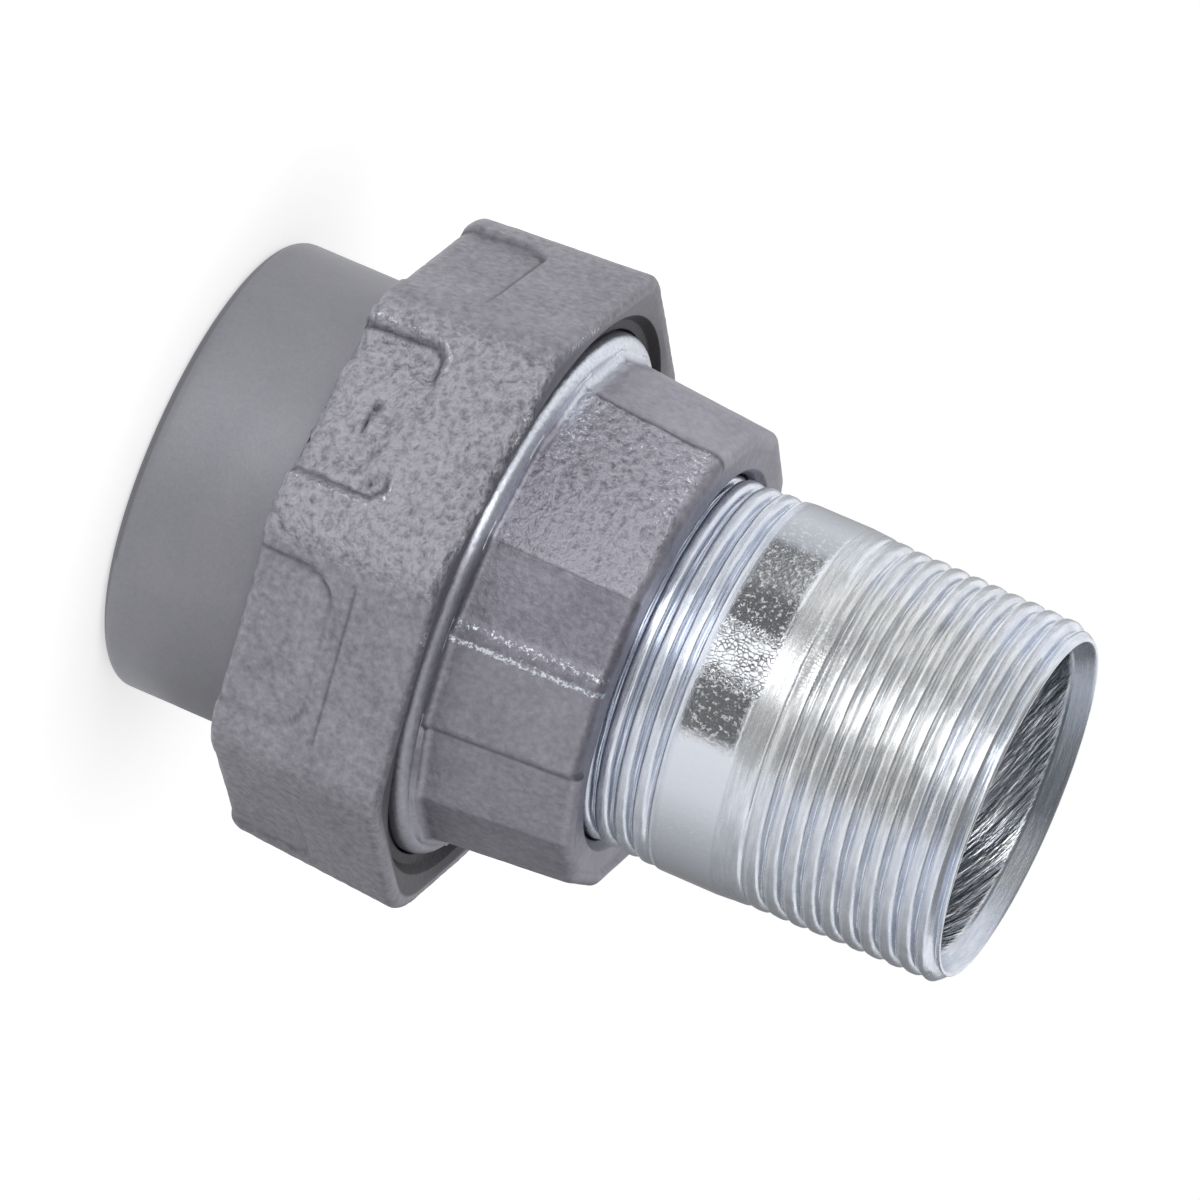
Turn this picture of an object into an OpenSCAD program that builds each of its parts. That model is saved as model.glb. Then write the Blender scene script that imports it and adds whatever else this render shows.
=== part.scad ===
// Conduit union: a plain hub, a captive octagonal nut, a faceted body and a male nipple.
// The axis is Z. The hub stands on Z = 0 and the nipple's mouth points up.
// The nipple's threads are rings at the true pitch and depth. The threads that the joint hides
// are left plain, each face at the size named for it.

/* [Pipe size] */
// Outside diameter of the pipe and nipple
pipe_d = 42.16; // [41:0.02:43]
// Wall of the pipe
pipe_wall = 3.56; // [3:0.02:4.2]
// How far inside the pipe's outside the female thread is drilled, on the radius
tap_cut = 2.03; // [1.6:0.01:2.6]
// Play between the nipple's thread and the body's thread, on the radius
thread_play = 0.05; // [0.03:0.01:0.15]

/* [Hub] */
// Metal of the hub outside the pipe's own radius
hub_wall = 4.57; // [4:0.01:5.5]
// Length of hub that stands out of the nut
hub_reach = 17.6; // [15:0.1:22]
// Rounding of the hub's outer end edge
hub_edge_r = 1.9; // [0.5:0.1:2.5]
// Depth of the female pipe thread
tap_depth = 17.5; // [14:0.1:18.5]
// Width of the bevel at the mouth of the female thread
tap_bevel = 1.2; // [0.5:0.1:2]
// How far the collar that the nut pulls on stands out of the hub
collar_step = 3.25; // [2.5:0.05:4]
// Thickness of that collar
collar_len = 4.4; // [3:0.1:6]

/* [Ground joint] */
// Width of the flat ring between the collar's edge and the cone
cone_step = 2.3; // [1.5:0.1:3.5]
// Length of the hub's cone, which leans 45 degrees
cone_len = 5; // [3:0.1:5.6]
// Gap left along the cone, square to its face
seat_gap = 0.3; // [0.1:0.05:0.5]
// Gap between the collar and the end of the body
collar_gap = 0.5; // [0.3:0.05:1]

/* [Union thread] */
// Play between the collar and the union thread's outside, on the radius
collar_play = 1.1; // [0.8:0.05:1.6]
// Play between the union thread and the nut, on the radius
union_play = 0.3; // [0.15:0.05:0.5]
// Depth of the groove behind the thread
relief_depth = 1.3; // [0.6:0.1:2]
// Width of that groove
relief_len = 1.3; // [0.8:0.1:2]

/* [Nut] */
// Length of the nut
nut_len = 20.6; // [18.5:0.1:24]
// Metal of the nut outside its bore, at the middle of a flat's hub end
nut_wall = 2.9; // [2.4:0.1:4]
// How far each flat leans out over the nut's length
nut_flare = 1.3; // [0:0.1:2.5]
// Rounding of the nut's long corners
nut_corner_r = 7; // [4:0.5:14]
// Rounding of the nut's edge at the hub end
nut_edge_r = 1.6; // [0.6:0.1:2]
// Rounding of the nut's edge at its mouth
nut_lip_r = 1.1; // [0.6:0.1:1.6]
// Turn of the nut's flats against the body's flats, in degrees
nut_turn = 0.6; // [-22.5:0.1:22.5]
// Thickness of the lip that holds the hub's collar
lip_len = 3.1; // [2.4:0.1:4.5]
// Play between the lip and the hub, on the radius
lip_play = 0.3; // [0.15:0.05:0.6]
// Gap between the lip and the collar
lip_gap = 0.3; // [0.1:0.05:0.5]
// Width of the step turned into the nut's mouth
mouth_step = 1.1; // [0.6:0.1:1.6]
// Depth of that step
mouth_depth = 1.05; // [0.5:0.05:1.6]
// Width of the pocket in each flat
pocket_w = 18.8; // [12:0.1:21]
// Length of the pocket, from the hub end
pocket_len = 10; // [5:0.1:12]
// Depth of the pocket
pocket_depth = 0.95; // [0.4:0.05:1.1]
// Rounding of the pocket's inner corners
pocket_r = 3; // [0.5:0.1:4.5]

/* [Body] */
// How far the shoulder stands out of the nut
shoulder_out = 0.7; // [0.3:0.1:1.5]
// Length of the shoulder
shoulder_len = 2.4; // [2:0.1:3.5]
// Rounding of the shoulder's edge
shoulder_r = 1.4; // [0.5:0.1:1.6]
// How far the shoulder stands out over the body's flats
shoulder_step = 2.45; // [2.2:0.05:4]
// Length of the flats
body_len = 17.2; // [14:0.1:22]
// How far each flat leans in over its length
body_taper = 1.45; // [0:0.05:2]
// Rounding of the corners between the flats
body_corner_r = 2; // [1:0.1:5]
// Rounding of the body's end edge
body_edge_r = 1.4; // [0.5:0.1:2]
// Bevel at the mouth of the body's thread
body_bevel = 0.9; // [0.4:0.1:1.5]

/* [Nipple] */
// Length of the nipple
nipple_len = 57.4; // [52:0.1:65]
// Length that is screwed into the body
nipple_grip = 17; // [13:0.1:18]
// How far the thread's crests fall below the pipe at the nipple's ends, on the radius
crest_drop = 0.58; // [0.3:0.02:0.8]
// Length over which the crests taper
crest_taper_len = 18.5; // [17:0.1:20]
// Width of the bevel outside the nipple's ends
end_bevel = 0.95; // [0.5:0.05:1.2]
// Width of the narrow land between the two bevels of each end
end_land = 0.3; // [0.1:0.05:0.6]
// Depth of the bevel inside the nipple's ends
bevel_len = 2.5; // [1:0.1:4]

/* [Nipple thread] */
// Height of one turn, at 11.5 turns to the inch
thread_pitch = 2.209; // [2.1:0.001:2.4]
// Depth of the thread
thread_depth = 1.3; // [0.8:0.05:1.5]
// Width of the flat at the bottom of each groove
root_flat = 0.3; // [0.1:0.05:0.35]
// Length of thread at each end of the nipple
thread_len = 25.2; // [23.5:0.1:26]
// Length over which the thread fades into the plain stretch
fade_len = 7; // [3:0.5:9]

/* [Hidden] */
$fn = 128;
NUT_SIDES = 8;
// The body is an octagon with bevels as wide as its flats
BODY_SIDES = 16;
// Slope of a thread's flanks against a plane across the axis, in degrees
FLANK = 30;
ARC_STEPS = 6;
CORNER_STEP = 7.5;
SLICE = 0.01;
OVER = 1;

// Radii, each from the one inside it
pipe_r = pipe_d / 2;
bore_r = pipe_r - pipe_wall;
tap_r = pipe_r - tap_cut;
hub_r = pipe_r + hub_wall;
collar_r = hub_r + collar_step;
cone_r = collar_r - cone_step;
union_r = collar_r + collar_play;
relief_r = union_r - relief_depth;
nut_bore_r = union_r + union_play;
mouth_r = nut_bore_r + mouth_step;
nut_af_hub = 2 * (nut_bore_r + nut_wall);
nut_af_mouth = nut_af_hub + 2 * nut_flare;
body_af_root = 2 * (union_r - shoulder_step);
body_af_end = body_af_root - 2 * body_taper;
crest_end_r = pipe_r - crest_drop;
end_r = crest_end_r - end_bevel;

// Whole turns in the length of thread
thread_turns = floor((thread_len - end_bevel) / thread_pitch);

// Heights along the axis, each from the one before it
nut_z = hub_reach;
lip_z = nut_z + lip_len;
collar_z = lip_z + lip_gap;
collar_top_z = collar_z + collar_len;
cone_top_z = collar_top_z + cone_len;
thread_z = collar_top_z + collar_gap;
nut_top_z = nut_z + nut_len;
shoulder_top_z = nut_top_z + shoulder_out;
shoulder_z = shoulder_top_z - shoulder_len;
body_top_z = shoulder_top_z + body_len;
nipple_z = body_top_z - nipple_grip;
seat_z = cone_top_z + 2 * seat_gap;
stop_z = nipple_z - 4 * thread_play;

// The body's seat is the hub's cone moved out by the gap
seat_shift = seat_gap * sqrt(2);
seat_root_r = cone_r + seat_shift + collar_top_z - (thread_z - OVER);
seat_tip_r = cone_r + seat_shift + collar_top_z - seat_z;

// Angle at which the nut's flats lean out from the axis
nut_lean = atan(nut_flare / nut_len);

// Points of an arc about a centre
function arc(cx, cy, r, from, to, steps = ARC_STEPS) = [
    for (i = [0 : steps])
        let (a = from + (to - from) * i / steps)
        [cx + r * cos(a), cy + r * sin(a)]
];

// Outline with equal flats and rounded corners, the first flat square to X
function flats_outline(sides, af, corner_r) = [
    for (k = [0 : sides - 1])
        let (
            turn = 360 / sides,
            mid = (k + 0.5) * turn,
            reach = (af / 2 - corner_r) / cos(turn / 2)
        )
        each arc(
            reach * cos(mid), reach * sin(mid), corner_r,
            mid - turn / 2, mid + turn / 2, turn / CORNER_STEP
        )
];

// One thin slice of a drafted block of flats, drawn in where its end edge is rounded
module flats_slice(sides, z, af, corner_r) {
    translate([0, 0, z])
        linear_extrude(SLICE)
            polygon(flats_outline(sides, af, corner_r));
}

// A drafted block of flats from z0 to z1, with its end edges rounded by edge0 and edge1
module drafted_flats(sides, z0, z1, af0, af1, corner_r, edge0, edge1) {
    slope = (af1 - af0) / (z1 - z0);
    hull() {
        for (a = [0 : 22.5 : 90]) {
            low_z = z0 + edge0 * (1 - sin(a));
            low_cut = 2 * edge0 * (1 - cos(a));
            flats_slice(sides, low_z, af0 + slope * (low_z - z0) - low_cut, corner_r);
            high_z = z1 - SLICE - edge1 * (1 - sin(a));
            high_cut = 2 * edge1 * (1 - cos(a));
            flats_slice(sides, high_z, af0 + slope * (high_z - z0) - high_cut, corner_r);
        }
    }
}

// A solid of revolution with a bevelled mouth, cut out of others
module bevelled_hole(z0, z1, r, bevel) {
    translate([0, 0, z0 - OVER])
        cylinder(h = z1 - z0 + OVER, r = r);
    rotate_extrude()
        polygon([
            [0, z0 - OVER],
            [r + bevel + OVER, z0 - OVER],
            [r, z0 + bevel],
            [0, z0 + bevel]
        ]);
}

// Radius over the nipple's thread, at a height above its lower end
function crest_r(h) = crest_end_r + crest_drop * min(h / crest_taper_len, 1);

// Outline of the nipple's grooves, from its end inwards, each shallower where the thread fades
function thread_grooves() = [
    for (k = [0 : thread_turns - 1])
        let (
            mid = end_bevel + (k + 0.5) * thread_pitch,
            deep = thread_depth * min((thread_len - mid) / fade_len, 1),
            reach = root_flat / 2 + deep * tan(FLANK)
        )
        each [
            [crest_r(mid - reach), mid - reach],
            [crest_r(mid) - deep, mid - root_flat / 2],
            [crest_r(mid) - deep, mid + root_flat / 2],
            [crest_r(mid + reach), mid + reach]
        ]
];

// The hub: a plain barrel, a collar inside the nut, and a cone that seats in the body
module hub() {
    color("#7d7c81")
        difference() {
            rotate_extrude()
                polygon(concat(
                    [[0, 0]],
                    arc(hub_r - hub_edge_r, hub_edge_r, hub_edge_r, -90, 0),
                    [
                        [hub_r, collar_z],
                        [collar_r, collar_z],
                        [collar_r, collar_top_z],
                        [cone_r, collar_top_z],
                        [cone_r - cone_len, cone_top_z],
                        [0, cone_top_z]
                    ]
                ));
            bevelled_hole(0, tap_depth, tap_r, tap_bevel);
            cylinder(h = cone_top_z + OVER, r = bore_r);
        }
}

// Cutter for one pocket, laid on the leaning flat that faces +X and open at the hub end
module pocket_cutter() {
    translate([nut_af_hub / 2, 0, nut_z])
        rotate([0, nut_lean, 0])
            translate([-pocket_depth, 0, 0])
                rotate([90, 0, 90])
                    linear_extrude(pocket_depth + OVER * 4)
                        polygon(concat(
                            [
                                [-pocket_w / 2, -OVER * 3],
                                [pocket_w / 2, -OVER * 3]
                            ],
                            arc(pocket_w / 2 - pocket_r, pocket_len - pocket_r, pocket_r, 0, 90),
                            arc(pocket_r - pocket_w / 2, pocket_len - pocket_r, pocket_r, 90, 180)
                        ));
}

// The nut: a drafted octagon with a pocket in each flat, a lip, and a threaded bore
module union_nut() {
    color("#8b8990")
        difference() {
            rotate([0, 0, nut_turn])
                difference() {
                    drafted_flats(
                        NUT_SIDES, nut_z, nut_top_z, nut_af_hub, nut_af_mouth,
                        nut_corner_r, nut_edge_r, nut_lip_r
                    );
                    for (k = [0 : NUT_SIDES - 1])
                        rotate([0, 0, k * 360 / NUT_SIDES])
                            pocket_cutter();
                }
            translate([0, 0, nut_z - OVER])
                cylinder(h = nut_len, r = hub_r + lip_play);
            translate([0, 0, lip_z])
                cylinder(h = nut_len, r = nut_bore_r);
            translate([0, 0, nut_top_z - mouth_depth])
                cylinder(h = mouth_depth + OVER, r = mouth_r);
        }
}

// The body: a threaded skirt with the joint's seat, a shoulder, and a drafted block of flats
module threaded_body() {
    color("#858389")
        difference() {
            union() {
                rotate_extrude()
                    polygon(concat(
                        [
                            [0, thread_z],
                            [union_r, thread_z],
                            [union_r, shoulder_z - relief_len],
                            [relief_r, shoulder_z - relief_len],
                            [relief_r, shoulder_z]
                        ],
                        [[union_r, shoulder_z]],
                        arc(union_r - shoulder_r, shoulder_top_z - shoulder_r, shoulder_r, 0, 90),
                        [[0, shoulder_top_z]]
                    ));
                drafted_flats(
                    BODY_SIDES, shoulder_z, body_top_z, body_af_root, body_af_end,
                    body_corner_r, 0, body_edge_r
                );
            }
            rotate_extrude()
                polygon([
                    [0, thread_z - OVER],
                    [seat_root_r, thread_z - OVER],
                    [seat_tip_r, seat_z],
                    [0, seat_z]
                ]);
            translate([0, 0, thread_z])
                cylinder(h = body_top_z - thread_z, r = bore_r);
            rotate_extrude()
                polygon([
                    [0, stop_z],
                    [crest_r(0) + thread_play, stop_z],
                    [crest_r(0) + thread_play, nipple_z],
                    [crest_r(nipple_grip - body_bevel) + thread_play, body_top_z - body_bevel],
                    [crest_r(nipple_grip) + thread_play + body_bevel, body_top_z],
                    [crest_r(nipple_grip) + thread_play + body_bevel + OVER, body_top_z + OVER],
                    [0, body_top_z + OVER]
                ]);
        }
}

// The nipple: a piece of pipe with a tapered thread at each end and bevelled mouths
module nipple() {
    half = concat(
        [
            [bore_r, bevel_len],
            [end_r - end_land, 0],
            [end_r, 0],
            [crest_r(end_bevel), end_bevel]
        ],
        thread_grooves()
    );
    other_half = [for (i = [len(half) - 1 : -1 : 0]) [half[i][0], nipple_len - half[i][1]]];
    color("#c9ccd2")
        translate([0, 0, nipple_z])
            rotate_extrude()
                polygon(concat(half, other_half));
}

hub();
union_nut();
threaded_body();
nipple();
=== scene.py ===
import math

import bpy
import numpy as np
from mathutils import Matrix, Vector


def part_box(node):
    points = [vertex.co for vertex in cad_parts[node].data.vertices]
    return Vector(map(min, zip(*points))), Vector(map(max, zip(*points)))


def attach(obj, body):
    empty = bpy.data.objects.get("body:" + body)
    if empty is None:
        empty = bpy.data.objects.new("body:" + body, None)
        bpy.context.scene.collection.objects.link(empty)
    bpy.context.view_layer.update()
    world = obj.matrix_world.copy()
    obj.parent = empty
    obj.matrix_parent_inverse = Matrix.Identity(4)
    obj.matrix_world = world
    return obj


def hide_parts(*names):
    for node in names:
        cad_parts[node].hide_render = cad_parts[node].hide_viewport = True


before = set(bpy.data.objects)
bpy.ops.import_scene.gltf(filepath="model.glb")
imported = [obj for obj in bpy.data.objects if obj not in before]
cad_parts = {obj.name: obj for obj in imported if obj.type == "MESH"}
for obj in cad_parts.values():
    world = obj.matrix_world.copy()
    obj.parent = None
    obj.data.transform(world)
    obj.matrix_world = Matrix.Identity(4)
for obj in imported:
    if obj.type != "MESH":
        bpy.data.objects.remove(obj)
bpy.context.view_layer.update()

# Millimetres are the script's own unit, and MM turns them into Blender's metres
MM = 0.001


# The camera: the part stands on its hub and is seen from a little above, lying across the picture
FACE_TURN = -69.95      # polar angle on the part that faces the viewer, in degrees
FOCUS_Z = 45.8          # height on the axis that the picture is centred on
AXIS_DROP = 2.7         # how far the axis lies below the picture's centre
DISTANCE = 1330
TILT = 13.4             # degrees that the viewer looks down
ROLL = 23.25            # degrees that the axis slopes down across the picture
LENS_PIXELS = 12500     # focal length for a picture 1200 pixels wide
PICTURE_PIXELS = 1200
SENSOR = 36


def polar(degrees):
    """Level unit direction at an angle about the axis."""
    a = math.radians(degrees)
    return Vector((math.cos(a), math.sin(a), 0))


def new_object(name, data):
    """Puts a mesh, a lamp or the camera into the scene, at the origin."""
    made = bpy.data.objects.new(name, data)
    bpy.context.scene.collection.objects.link(made)
    return made


def make_camera():
    tilt, roll = math.radians(TILT), math.radians(ROLL)
    axis = Vector((0, 0, 1))
    near = polar(FACE_TURN)
    up = near.cross(axis)
    back = axis * math.sin(tilt) + near * math.cos(tilt)
    along = axis * math.cos(tilt) - near * math.sin(tilt)
    right = along * math.cos(roll) + up * math.sin(roll)
    top = up * math.cos(roll) - along * math.sin(roll)
    place = Matrix((right, top, back)).transposed().to_4x4()
    place.translation = (axis * FOCUS_Z + up * AXIS_DROP + back * DISTANCE) * MM
    data = bpy.data.cameras.new("camera")
    data.sensor_width = SENSOR
    data.lens = SENSOR * LENS_PIXELS / PICTURE_PIXELS
    data.clip_end = 20
    camera = new_object("camera", data)
    camera.matrix_world = place
    bpy.context.scene.camera = camera


# Small helpers for node trees

def add_node(tree, kind, settings=None, links=None):
    """Adds a node, sets its settings, and fills its sockets with values or other outputs."""
    made = tree.nodes.new(kind)
    for name, value in (settings or {}).items():
        setattr(made, name, value)
    for socket, value in (links or {}).items():
        target = made.inputs[socket]
        if isinstance(value, bpy.types.NodeSocket):
            tree.links.new(value, target)
        else:
            target.default_value = value
    return made


def maths(tree, operation, *values):
    """Output of a sum on numbers or other outputs."""
    return add_node(
        tree, "ShaderNodeMath", {"operation": operation}, dict(enumerate(values))).outputs[0]


def remap(tree, value, low, high, to_low=0.0, to_high=1.0, kind="LINEAR"):
    """Output that goes from to_low to to_high while the value goes from low to high."""
    return add_node(tree, "ShaderNodeMapRange", {"interpolation_type": kind}, {
        "Value": value, "From Min": low, "From Max": high,
        "To Min": to_low, "To Max": to_high}).outputs[0]


def mix(tree, kind, share, first, second):
    """Output between two colours (RGBA) or two numbers (FLOAT)."""
    return add_node(tree, "ShaderNodeMix", {"data_type": kind}, {
        "Factor": share, "A": first, "B": second}).outputs["Result"]


def noise(tree, place, size, detail, roughness=0.5, seed=None):
    """Noise of a size in millimetres. With a seed it has a fourth dimension, so that seeds differ."""
    settings, links = {}, {
        "Vector": place, "Scale": per_mm(size), "Detail": detail, "Roughness": roughness}
    if seed is not None:
        settings["noise_dimensions"] = "4D"
        links["W"] = seed
    return add_node(tree, "ShaderNodeTexNoise", settings, links)


def colour(hex_code):
    """Linear colour from an sRGB hex code."""
    parts = [int(hex_code[i:i + 2], 16) / 255 for i in (1, 3, 5)]
    linear = [p / 12.92 if p <= 0.04045 else ((p + 0.055) / 1.055) ** 2.4 for p in parts]
    return (*linear, 1.0)


def per_mm(size):
    """Noise scale that gives a pattern of that size in millimetres."""
    return 1 / (size * MM)


# Sizes, all in millimetres, taken from the frame where it gives them
def reach(node):
    """Largest radius, lowest and highest point of a node."""
    low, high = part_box(node)
    return high.x / MM, low.z / MM, high.z / MM


COLLAR_R, HUB_Z, CONE_TOP = reach("hub")
_, NUT_Z, NUT_TOP = reach("union_nut")
UNION_R, SKIRT_Z, BODY_TOP = reach("threaded_body")
PIPE_R, NIPPLE_Z, MOUTH_Z = reach("nipple")

PLAY = 0.3                      # between pieces that move on each other
TIGHT_PLAY = 0.05               # round the nipple in the body
SEAT_PLAY = 0.42                # on the radius at the cone, which is PLAY square to its face
PIPE_WALL = 3.56
BORE_R = PIPE_R - PIPE_WALL
PIPE_PITCH = 25.4 / 11.5        # 11.5 threads to the inch
PIPE_DEPTH = 1.1
TAP_R = PIPE_R - 2.03           # the hub's thread: its drilled radius, then how far it reaches
TAP_DEPTH = 17.5
TAP_BEVEL = 1.2
TAP_THREAD_DEPTH = 1.45
HUB_R = PIPE_R + 4.57
HUB_EDGE = 1.9
HUB_GRIND = 3                   # height of the end that is ground askew, and by how much
HUB_ASKEW = 0.5
LIP_Z = NUT_Z + 3.1             # upper face of the nut's lip, below the hub's collar
COLLAR_Z = LIP_Z + PLAY
CONE_Z = COLLAR_Z + 4.4         # foot of the hub's cone
CONE_R = COLLAR_R - 2.3
SEAT_Z = CONE_TOP + 0.6         # small end of the body's seat
NUT_BORE_R = UNION_R + PLAY
NUT_FLAT = NUT_BORE_R + 2.9     # axis to flat at the hub's side; the flats flare to the mouth
NUT_FLARE = 1.3
MOUTH_STEP_R = NUT_BORE_R + 1.1
MOUTH_STEP = 1.05
UNION_PITCH = 2.0
UNION_DEPTH = 1.1
SHOULDER_TOP = NUT_TOP + 0.7    # the body's round shoulder stands a little out of the nut
SHOULDER_Z = SHOULDER_TOP - 2.4
RELIEF_R = UNION_R - 1.3        # groove between the union thread and the shoulder
RELIEF_Z = SHOULDER_Z - 1.3
BODY_FLAT = UNION_R - 2.45      # axis to flat at the shoulder; the flats taper to the end
BODY_TAPER = 1.45
PLAIN_LOW = 63.7                # the nipple's plain stretch
PLAIN_HIGH = 70.6

# Angles about the axis are given from the side that faces the viewer, positive upwards
NUT_TURN = 19.4
BODY_TURN = 20.05
NUT_SIDES = 8
BODY_SIDES = 16
# Columns of points round each piece, and the row spacing that its thread needs
HUB_COLUMNS = 320
NUT_COLUMNS = 480
BODY_COLUMNS = 432
NIPPLE_COLUMNS = 272
UNION_ROWS = 0.18
NIPPLE_ROWS = 0.15


# Ring meshes: a closed profile carried round the axis, with one row for each point of the profile

ARC_STEP = 0.28         # spacing of the points along a rounded corner
NEARLY_STRAIGHT = 1.55  # half the angle of a corner that is too flat to round, in radians


def rounded_loop(corners):
    """Points of a closed profile. A corner is (r, z, rounding, row spacing after it, share of flats)."""
    rows = []
    count = len(corners)
    ends = []
    for i, (r, z, rounding, _, _) in enumerate(corners):
        here = np.array([r, z], float)
        before = np.array(corners[i - 1][:2], float) - here
        after = np.array(corners[(i + 1) % count][:2], float) - here
        u, v = before / np.linalg.norm(before), after / np.linalg.norm(after)
        half = math.acos(max(-1.0, min(1.0, float(u @ v)))) / 2
        if rounding == 0 or half > NEARLY_STRAIGHT:
            ends.append([here])
            continue
        cut = rounding / math.tan(half)
        centre = here + (u + v) / np.linalg.norm(u + v) * rounding / math.sin(half)
        steps = max(2, math.ceil(rounding * (math.pi - 2 * half) / ARC_STEP))
        start, end = here + u * cut - centre, here + v * cut - centre
        turn = math.pi - 2 * half
        arc = [
            centre + (start * math.sin((1 - t) * turn) + end * math.sin(t * turn)) / math.sin(turn)
            for t in np.linspace(0, 1, steps + 1)
        ]
        ends.append(arc)
    for i, (_, _, _, spacing, share) in enumerate(corners):
        rows += [(p[0], p[1], share) for p in ends[i]]
        start, end = ends[i][-1], ends[(i + 1) % count][0]
        next_share = corners[(i + 1) % count][4]
        pieces = max(1, math.ceil(np.linalg.norm(end - start) / spacing))
        for t in np.arange(1, pieces) / pieces:
            p = start + (end - start) * t
            rows.append((p[0], p[1], share + (next_share - share) * t))
    return np.array(rows).T


def around(columns):
    """Polar angles of the columns, and their angles from the side that faces the viewer, in degrees."""
    phi = np.arange(columns) * 2 * math.pi / columns
    alpha = (FACE_TURN - np.degrees(phi) + 180) % 360 - 180
    return phi, alpha


def from_flat(alpha, turn, sides):
    """Angle of each column from the middle of its flat, in degrees, and the number of that flat."""
    span = 360 / sides
    number = np.round((alpha - turn) / span)
    return alpha - turn - number * span, number.astype(int) % sides


def flats_radius(flat, theta, sides, corner):
    """Radius of an outline of equal flats with rounded corners."""
    half = math.pi / sides
    theta = np.abs(np.radians(theta))
    centre = (flat - corner) / math.cos(half)
    edge = np.arctan((flat - corner) * math.tan(half) / flat)
    off = half - theta
    arc = centre * np.cos(off) + np.sqrt(np.maximum(corner ** 2 - (centre * np.sin(off)) ** 2, 0))
    return np.where(theta <= edge, flat / np.cos(theta), arc)


def smooth(t):
    t = np.clip(t, 0, 1)
    return t * t * (3 - 2 * t)


def band(x, low, high, soft):
    """One between low and high, falling to nothing over a soft width on both sides."""
    return smooth((x - low) / soft + 0.5) * smooth((high - x) / soft + 0.5)


def ring_piece(name, r, z, phi, marks):
    """A closed ring from radii and heights on a grid of rows and columns, with marks on its points."""
    rows, columns = r.shape
    points = np.stack([r * np.cos(phi), r * np.sin(phi), z], -1).reshape(-1, 3) * MM
    i, j = np.meshgrid(np.arange(rows), np.arange(columns), indexing="ij")
    up, across = (i + 1) % rows, (j + 1) % columns
    faces = np.stack([i * columns + j, i * columns + across, up * columns + across, up * columns + j], -1)
    mesh = bpy.data.meshes.new(name)
    mesh.from_pydata(points.tolist(), [], faces.reshape(-1, 4).tolist())
    mesh.polygons.foreach_set("use_smooth", np.ones(rows * columns, bool))
    for mark, values in marks.items():
        layer = mesh.attributes.new(mark, "FLOAT", "POINT")
        grid = np.broadcast_to(values, r.shape).astype(np.float32)
        layer.data.foreach_set("value", grid.ravel())
    return new_object(name, mesh)


# Geometry Nodes: a screw thread and the skin of a casting

KNOCK_SIZE = 3.5


def new_geometry_tree(name, sizes):
    """An empty tree with a geometry socket, named sizes and a material."""
    tree = bpy.data.node_groups.new(name, "GeometryNodeTree")
    tree.interface.new_socket("Geometry", in_out="INPUT", socket_type="NodeSocketGeometry")
    for size in sizes:
        tree.interface.new_socket(size, in_out="INPUT", socket_type="NodeSocketFloat")
    tree.interface.new_socket("Material", in_out="INPUT", socket_type="NodeSocketMaterial")
    tree.interface.new_socket("Geometry", in_out="OUTPUT", socket_type="NodeSocketGeometry")
    return tree, add_node(tree, "NodeGroupInput").outputs


def close_geometry_tree(tree, given, offset):
    """Moves the points by the offset, and ends the tree in real geometry with its material."""
    moved = add_node(tree, "GeometryNodeSetPosition", links={
        "Geometry": given["Geometry"], "Offset": offset})
    real = add_node(tree, "GeometryNodeRealizeInstances", links={"Geometry": moved.outputs[0]})
    dressed = add_node(tree, "GeometryNodeSetMaterial", links={
        "Geometry": real.outputs[0], "Material": given["Material"]})
    add_node(tree, "NodeGroupOutput", links={"Geometry": dressed.outputs[0]})


def own_mark(tree, name):
    """A mark on the points, read in a geometry tree."""
    return add_node(tree, "GeometryNodeInputNamedAttribute", {"data_type": "FLOAT"}, {
        "Name": name}).outputs["Attribute"]


def thread_tree():
    """Cuts a right-hand thread into the points that carry a thread depth."""
    tree, given = new_geometry_tree("screw thread", ["Pitch", "Fullness", "Batter", "Seed"])
    place = add_node(tree, "GeometryNodeInputPosition").outputs[0]
    x, y, z = add_node(tree, "ShaderNodeSeparateXYZ", links={0: place}).outputs
    turned = maths(tree, "DIVIDE", maths(tree, "ARCTAN2", y, x), math.tau)
    climbed = maths(tree, "DIVIDE", z, given["Pitch"])
    # Nothing at the middle of a crest and one at the bottom of the groove; fuller crests rise faster
    wave = maths(tree, "PINGPONG", maths(tree, "SUBTRACT", climbed, turned), 0.5)
    groove = maths(tree, "POWER", maths(tree, "MULTIPLY", wave, 2.0), given["Fullness"])
    depth = own_mark(tree, "thread_depth")
    cut = maths(tree, "MULTIPLY", depth, groove)
    # Battered crests: knocks stay on the crest and never reach the root
    knocks = noise(tree, place, KNOCK_SIZE, 2, seed=given["Seed"]).outputs[0]
    hit = remap(tree, knocks, 0.42, 0.75, 0.0, given["Batter"])
    worn = maths(tree, "MULTIPLY", hit, maths(tree, "SUBTRACT", 1.0, groove))
    total = maths(tree, "ADD", cut, maths(tree, "MULTIPLY", worn, depth))
    flat = add_node(tree, "ShaderNodeCombineXYZ", links={0: x, 1: y})
    outward = add_node(tree, "ShaderNodeVectorMath", {"operation": "NORMALIZE"}, {0: flat.outputs[0]})
    offset = add_node(tree, "ShaderNodeVectorMath", {"operation": "SCALE"}, {
        0: outward.outputs[0], "Scale": maths(tree, "MULTIPLY", total, -1.0)})
    close_geometry_tree(tree, given, offset.outputs[0])
    return tree


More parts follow.
